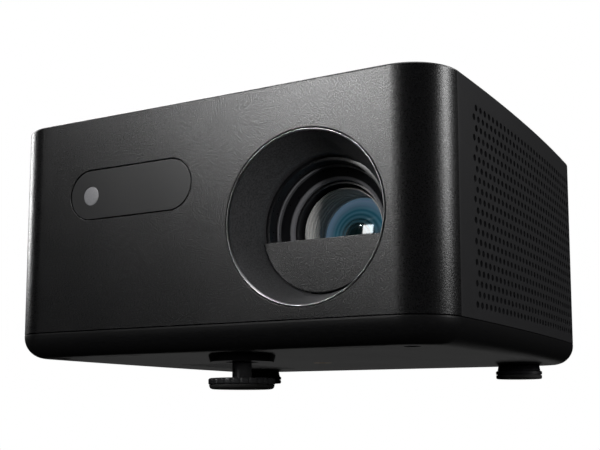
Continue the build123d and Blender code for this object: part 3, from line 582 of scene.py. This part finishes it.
def discOutline(radius, straight, steps=90, blend=0.35 * mm):
    # circle cut off by a level edge at height straight from its middle, with small blends at the ends
    a0 = math.asin(straight / radius)
    turn = np.linspace(math.pi - a0, 2 * math.pi + a0, steps)
    arc = np.stack([np.cos(turn), np.sin(turn)], axis=1) * radius
    loop = rounded(arc, np.r_[blend, np.full(steps - 2, 1e-6), blend], steps=4)
    ahead, behind = np.roll(loop, -1, axis=0), np.roll(loop, 1, axis=0)
    along = ahead - behind
    along /= np.linalg.norm(along, axis=1)[:, None]
    return np.stack([loop[:, 0], loop[:, 1], along[:, 1], -along[:, 0]], axis=1)


def plate(name, loop, section, x, z):
    # outline carried through a section of (inset, depth), closed by flat faces at both ends
    section = np.asarray(section, float)
    flat = loop[None, :, :2] - loop[None, :, 2:] * section[:, None, :1]
    depth = np.broadcast_to(section[:, 1:], flat.shape[:2])
    return carried(name, np.stack([flat[..., 0] + x, depth, flat[..., 1] + z], axis=-1))


def weighted(piece):
    # large flat faces keep their own normals beside small edges
    normals = piece.modifiers.new("weighted", "WEIGHTED_NORMAL")
    normals.keep_sharp = True
    return piece


def makeFrontShell():
    # each cutter flares by a quarter circle where it meets the front face, which rounds the opening's edge
    end = travelAt(frontSplit)
    shell = casingBand("frontShell", -end, end, wallSection())
    edge, near, far = openings["edge"], frontY - openings["reach"], frontY + openings["reach"]
    r = rimR + openings["ringGap"]
    fillet = np.linspace(0, math.pi / 2, 5)
    flare = [(r + edge * (1 - math.sin(a)), frontY + edge * (1 - math.cos(a))) for a in fillet]
    profile = [(0, near), (r + edge, near)] + flare + [(r, far), (0, far)]
    carve(shell, turned("mouthCutter", profile, (lensX, 0, lensZ), segments=180))
    gap = openings["windowGap"]
    width = windowHigh.x - windowLow.x + 2 * gap
    height = windowHigh.z - windowLow.z + 2 * gap
    flare = [(-edge * (1 - math.sin(a)), frontY + edge * (1 - math.cos(a))) for a in fillet]
    section = [(-edge, near)] + flare + [(0, far)]
    carve(shell, plate("windowCutter", stadiumOutline(width, height), section, windowX, windowZ))
    finishPiece(weighted(shell), "casing", "shell_paint", paints["shell_paint"], "front_shell")


# lens parts, all turned round the lens axis; profiles are (radius, depth behind the front face) in mm

lens = {"mouthR": 40.4, "ringW": 0.95, "throatR": 33.7, "throatDepth": 20.0}


def lensTurned(name, corners, radius, segments=180):
    # corners are rounded before the profile goes round the lens axis
    profile = rounded(corners, radius) * mm
    return turned(name, profile, (lensX, frontY, lensZ), segments=segments)


def makeTrimRing():
    # narrow ring in the mouth's edge, sloping in from the front face
    r, rim = lens["mouthR"], lens["mouthR"] + lens["ringW"]
    corners = [(r, 1.2), (r, 0.9), (r + 0.45, 0.3), (rim - 0.25, 0), (rim, 0.05), (rim, 1.2)]
    ring = lensTurned("trimRing", corners, 0.12, 240)
    finishPiece(ring, "casing", "polished_trim", paints["polished_trim"], "lens_trim_ring")


def makeFunnel():
    # the cone runs into the throat with a soft bend
    r, throat, deep = lens["mouthR"], lens["throatR"], lens["throatDepth"]
    rim = r + lens["ringW"]
    corners = [(r, 1.2), (throat, deep), (throat, 40), (throat + 2.3, 40), (throat + 2.3, deep)]
    corners += [(r + 0.6, 5), (r + 3.2, 5), (r + 3.2, 3), (rim, 3), (rim, 1.2)]
    funnel = lensTurned("lensFunnel", corners, [0.1, 2.5, 0.3, 0.3, 2, 0.3, 0.3, 0.3, 0.2, 0.1], 240)
    finishPiece(funnel, "casing", "shell_paint", paints["funnel_painted_light"], "lens_funnel")


def makeBezel():
    # steps down from the throat to the opening that the barrel slides in
    throat, opening, front, back = lens["throatR"], 24.5, 24, 38
    corners = [(throat, front), (31.6, front), (31.6, 30.2), (30.3, 31), (30.3, 33), (28, 34)]
    corners += [(opening, 36), (opening, back), (throat, back)]
    bezel = lensTurned("lensBezel", corners, 0.22)
    finishPiece(bezel, "casing", "lens_black", paints["bezel_paint"], "lens_bezel")


cell = {
    "mouth": 42.6,
    "seat": 61.0,  # where the ribs end and the glass's seat begins
    "glassFront": 63.0,  # both of the glass's faces at their rims
    "glassBack": 67.0,
    "back": 68.0,
    "outerR": 23.24,
    "neckR": 21.94,
    "crestR": 21.2,
    "grooveR": 21.8,
    "glassR": 20.5,
    "ribs": 6,
}


def makeFrontCell():
    # barrel with a narrower neck and equal ribs down its bore
    mouth, seat, back, r, neck = [cell[key] for key in ("mouth", "seat", "back", "outerR", "neckR")]
    crest, groove, glass, ribs = [cell[key] for key in ("crestR", "grooveR", "glassR", "ribs")]
    pitch = (seat - mouth - 1) / ribs
    starts = mouth + 1 + np.arange(ribs) * pitch
    rib = np.array([(crest, 0), (groove, 0.3), (groove, 0.6 * pitch), (crest, 0.7 * pitch)])
    bore = (rib[None] + np.stack([0 * starts, starts], axis=1)[:, None]).reshape(-1, 2)
    corners = [(r, back), (r, mouth + 6), (neck, mouth + 5.2), (neck, mouth + 0.2), (neck - 0.2, mouth)]
    corners = np.r_[corners, [(crest + 0.15, mouth)], bore, [(crest, seat), (glass, seat), (glass, back)]]
    barrel = lensTurned("frontLensCell", corners, 0.15)
    finishPiece(barrel, "focus_cell", "lens_grey", paints["lens_grey"], "front_lens_cell")


def makeFrontGlass():
    # both faces stand out from a flat disc, by a bulge that falls with the square of the radius
    frontBulge, backBulge = 4.0, 1.5
    r = np.linspace(0, cell["glassR"], 40)
    bulge = 1 - (r / cell["glassR"]) ** 2
    front = np.stack([r, cell["glassFront"] - frontBulge * bulge], axis=1)
    back = np.stack([r, cell["glassBack"] + backBulge * bulge], axis=1)
    profile = np.r_[front, back[::-1]] * mm
    glass = turned("frontLensGlass", profile, (lensX, frontY, lensZ))
    finishPiece(glass, "focus_cell", "lens_glass", paints["lens_glass"], "front_lens_glass")


def makeShroud():
    # disc behind the cone, cut off level at its top, with a fine bevel round its front
    low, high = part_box("lens_shroud")
    r = (high.x - low.x) / 2
    edge = 0.3 * mm
    section = [(0, high.y), (0, low.y + edge), (0.3 * edge, low.y + 0.3 * edge), (edge, low.y)]
    shroud = plate("lensShroud", discOutline(r, high.z - lensZ), section, lensX, lensZ)
    finishPiece(weighted(shroud), "casing", "shell_paint", paints["shell_paint"], "lens_shroud")


# sensor window and camera cover

windowEdge = {"window": 0.35 * mm, "cameraGap": 0.05 * mm, "coverFront": 0.3 * mm, "coverBack": 0.2 * mm}
coverX, _, coverZ, coverR = middle("camera_cover")


def makeWindow():
    # dark plate with a quarter circle round its edge and a round opening for the camera
    edge = windowEdge["window"]
    near, far = windowLow.y, windowHigh.y
    arc = np.linspace(0, math.pi / 2, 5)
    section = [(0, far)] + [(edge * (1 - math.cos(a)), near + edge * (1 - math.sin(a))) for a in arc]
    loop = stadiumOutline(windowHigh.x - windowLow.x, windowHigh.z - windowLow.z)
    window = plate("sensorWindow", loop, section, windowX, windowZ)
    r = coverR + windowEdge["cameraGap"]
    profile = [(0, near - edge), (r, near - edge), (r, far + edge), (0, far + edge)]
    carve(window, turned("cameraCutter", profile, (coverX, 0, coverZ), segments=96))
    finishPiece(weighted(window), "casing", "smoked_window", paints["smoked_window"], "sensor_window")


def makeCameraCover():
    # flat disc with rounded edges
    low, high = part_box("camera_cover")
    corners = [(0, low.y), (coverR, low.y), (coverR, high.y), (0, high.y)]
    profile = rounded(corners, [0, windowEdge["coverFront"], windowEdge["coverBack"], 0], closed=False)
    cover = turned("cameraCover", profile, (coverX, 0, coverZ), segments=96)
    finishPiece(cover, "casing", "camera_cover", paints["camera_cover"], "camera_cover")


# front foot; profiles are (radius, height) in mm

foot = {
    "knobR": 17.2,
    "knobLow": 2.35,
    "knobHigh": 5.6,
    "rodR": 5,
    "rodTop": 46,
    "boreR": 3.06,
    "boreTop": 8.6,
    "grooves": 24,
    "grooveDepth": 0.45 * mm,
    "sharpness": 16,  # power of the cosine: higher is a narrower groove
}
footX, footY, _, padR = middle("foot_pad")


def makeFootSpindle():
    # turned rod and knob; round the knob's rim the radius dips at each groove by a cosine to a power
    r, low, high, rod, rodTop = [foot[key] for key in ("knobR", "knobLow", "knobHigh", "rodR", "rodTop")]
    corners = [(0, foot["boreTop"]), (foot["boreR"], foot["boreTop"]), (foot["boreR"], low), (r - 0.4, low)]
    corners += [(r, low + 0.45), (r, high - 0.6), (r - 0.6, high), (rod, high), (rod, rodTop), (0, rodTop)]
    profile = rounded(corners, [0, 0.1, 0.1, 0.3, 0.3, 0.3, 0.3, 0.2, 0.4, 0], closed=False) * mm
    segments = foot["grooves"] * 12
    turn = np.linspace(0, 2 * math.pi, segments, endpoint=False)
    dip = np.cos(turn * foot["grooves"] / 2) ** foot["sharpness"]
    onRim = np.clip((profile[:, 0] - (r - 1.2) * mm) / mm, 0, 1)
    radius = profile[None, :, 0] - foot["grooveDepth"] * dip[:, None] * onRim[None, :]
    x, y = np.cos(turn)[:, None] * radius + footX, np.sin(turn)[:, None] * radius + footY
    z = np.broadcast_to(profile[:, 1], x.shape)
    points = np.stack([x, y, z], axis=-1)
    spindle = makePiece("footSpindle", points, gridFaces(segments, len(profile), True, False))
    finishPiece(spindle, "front_foot_screw", "foot_metal", paints["foot_metal"], "foot_spindle")


def makeFootPad():
    # rubber disc with a rounded lower edge, and the pin that holds it in the rod
    r = padR / mm
    corners = [(0, 0), (r - 1.6, 0), (r - 0.5, 0.5), (r, 1.6), (r, 2.2), (3, 2.2), (3, 8.2), (0, 8.2)]
    profile = rounded(corners, [0, 0.5, 0.4, 0.3, 0.15, 0.1, 0.3, 0], closed=False) * mm
    pad = turned("footPad", profile, (footX, footY, 0), "z")
    finishPiece(pad, "front_foot_pad", "foot_rubber", paints["foot_rubber"], "foot_pad")


# foam strips that close the gap between the fans and the cover

foam = {
    "x": (109.0 * mm, 113.0 * mm),
    "y": (-86 * mm, 88 * mm),
    "overFan": 0.6 * mm,
    "underCover": 3.6 * mm,  # below the cover's upper face
    "edgeR": 0.8 * mm,
    "sway": 0.25 * mm,
    "swayWaves": 70.0,  # radians per metre
}


def makeFoamStrips():
    # rounded bar along y that sways sideways by a cosine
    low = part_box("intake_fan_frame")[1].z + foam["overFan"]
    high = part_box("top_cover")[1].z - foam["underCover"]
    y = np.linspace(*foam["y"], 30)[:, None]
    sway = foam["sway"] * np.cos(y * foam["swayWaves"])
    for side, word in ((-1, "Left"), (1, "Right")):
        inner, outer = sorted(side * x for x in foam["x"])
        loop = rounded([(inner, low), (outer, low), (outer, high), (inner, high)], foam["edgeR"], 4)
        x, z = loop[:, 0] + sway, np.broadcast_to(loop[:, 1], (len(y), len(loop)))
        strip = carried("foamStrip" + word, np.stack([x, np.broadcast_to(y, z.shape), z], axis=-1))
        finishPiece(strip, "casing", "speaker_cone", paints["speaker_cone"])


makers = [makeFrontShell, makeFunnel, makeTrimRing, makeBezel, makeFrontCell, makeFrontGlass, makeShroud]
makers += [makeWindow, makeCameraCover, makeFootSpindle, makeFootPad, makeFoamStrips]
for make in makers:
    make()
    print(make.__name__, "done")


# camera, lights and floor

studio = {
    "cameraAt": (0.2749, -0.5113, -0.0126),
    "cameraTurn": (96.73, 0.0, 29.11),  # degrees
    "lens": 59.49,
    "shiftY": 0.12,
    "aim": (0, 0, 0.08),  # point that every softbox faces
    "worldLevel": 0.004,
    "skyStart": 0.6,  # height on the unit sphere where the sky begins to brighten
    "skyLevel": 0.3,
    "floorGlow": 0.9,
    "floorGrey": 0.06,
    "floorHalf": 4.0,
}

# azimuth (0 in front, positive to the right) and elevation in degrees, distance and size in metres, watts
softboxes = {
    "keyBox": (-25, 24, 2.2, (0.26, 0.20), 19),
    "frontBox": (-12, 17, 2.4, (0.5, 0.4), 4.5),
    "rightBox": (101, 20, 2.0, (0.32, 0.6), 13),
    "lensBox": (48, 4, 1.8, (0.16, 0.3), 13),
    "leftStrip": (-100, 20, 2.0, (0.3, 0.9), 12),
    "topBox": (0, 88, 2.2, (1.4, 1.4), 20),
    "underBox": (205, -14, 1.8, (1.4, 0.3), 0.24),
    "backBox": (205, 30, 2.4, (1.6, 0.9), 110),
    "backRightBox": (128, 42, 2.4, (0.8, 0.7), 12),
    "backLeftBox": (-120, 50, 2.4, (0.8, 0.7), 22),
}
leftOutOfGloss = ("lensBox", "backBox")


def makeCamera():
    data = bpy.data.cameras.new("studioCamera")
    data.sensor_width = 36.0
    data.lens = studio["lens"]
    data.shift_y = studio["shiftY"]
    data.clip_start = 0.01
    data.clip_end = 20.0
    camera = bpy.data.objects.new("studioCamera", data)
    camera.location = studio["cameraAt"]
    camera.rotation_euler = [math.radians(a) for a in studio["cameraTurn"]]
    scene.collection.objects.link(camera)
    scene.camera = camera


def makeWorld():
    # white for the camera; for everything else dim all round, and brighter overhead
    world = bpy.data.worlds.new("studioWorld")
    world.use_nodes = True
    tree = world.node_tree
    ray = tree.nodes.new("ShaderNodeLightPath")
    mix = tree.nodes.new("ShaderNodeMixShader")
    dim, white = tree.nodes["Background"], tree.nodes.new("ShaderNodeBackground")
    dim.inputs["Color"].default_value = (1, 1, 1, 1)
    place = tree.nodes.new("ShaderNodeTexCoord")
    split = tree.nodes.new("ShaderNodeSeparateXYZ")
    sky = tree.nodes.new("ShaderNodeMapRange")
    sky.interpolation_type = "SMOOTHSTEP"
    sky.inputs["From Min"].default_value = studio["skyStart"]
    sky.inputs["To Min"].default_value = studio["worldLevel"]
    sky.inputs["To Max"].default_value = studio["skyLevel"]
    tree.links.new(place.outputs["Generated"], split.inputs[0])
    tree.links.new(split.outputs["Z"], sky.inputs["Value"])
    tree.links.new(sky.outputs[0], dim.inputs["Strength"])
    white.inputs["Color"].default_value = (1, 1, 1, 1)
    tree.links.new(ray.outputs["Is Camera Ray"], mix.inputs["Fac"])
    tree.links.new(dim.outputs[0], mix.inputs[1])
    tree.links.new(white.outputs[0], mix.inputs[2])
    tree.links.new(mix.outputs[0], tree.nodes["World Output"].inputs["Surface"])
    scene.world = world


def makeLight(name, azimuth, elevation, distance, size, power):
    # rectangular softbox that faces the object
    data = bpy.data.lights.new(name, "AREA")
    data.shape = "RECTANGLE"
    data.size, data.size_y = size
    data.energy = power
    light = bpy.data.objects.new(name, data)
    a, e = math.radians(azimuth), math.radians(elevation)
    way = Vector((math.sin(a) * math.cos(e), -math.cos(a) * math.cos(e), math.sin(e)))
    light.location = Vector(studio["aim"]) + way * distance
    light.rotation_euler = way.to_track_quat("Z", "Y").to_euler()
    light.visible_glossy = name not in leftOutOfGloss
    scene.collection.objects.link(light)


def makeFloor():
    # pale floor that only the camera sees, from above; everything else passes through it
    paint = Paint("floorPaint")
    tree = paint.tree
    clear = tree.nodes.new("ShaderNodeBsdfTransparent")
    diffuse = tree.nodes.new("ShaderNodeBsdfDiffuse")
    diffuse.inputs["Color"].default_value = (*[studio["floorGrey"]] * 3, 1)
    glow = tree.nodes.new("ShaderNodeEmission")
    glow.inputs["Strength"].default_value = studio["floorGlow"]
    pale = tree.nodes.new("ShaderNodeAddShader")
    tree.links.new(diffuse.outputs[0], pale.inputs[0])
    tree.links.new(glow.outputs[0], pale.inputs[1])
    seen = paint.node("ShaderNodeLightPath", output="Is Camera Ray")
    back = paint.node("ShaderNodeNewGeometry", output="Backfacing")
    mix = tree.nodes.new("ShaderNodeMixShader")
    tree.links.new((seen * (1 - back)).socket, mix.inputs["Fac"])
    tree.links.new(clear.outputs[0], mix.inputs[1])
    tree.links.new(pale.outputs[0], mix.inputs[2])
    tree.links.new(mix.outputs[0], tree.nodes["Material Output"].inputs["Surface"])
    half = studio["floorHalf"]
    corners = [(-half, -half, 0), (half, -half, 0), (half, half, 0), (-half, half, 0)]
    mesh = bpy.data.meshes.new("floor")
    mesh.from_pydata(corners, [], [(0, 1, 2, 3)])
    mesh.materials.append(paint.material)
    floor = bpy.data.objects.new("floor", mesh)
    floor.visible_shadow = False
    scene.collection.objects.link(floor)


makeCamera()
makeWorld()
for name, settings in softboxes.items():
    makeLight(name, *settings)
makeFloor()
scene.view_settings.view_transform = "Standard"
print("studio made")
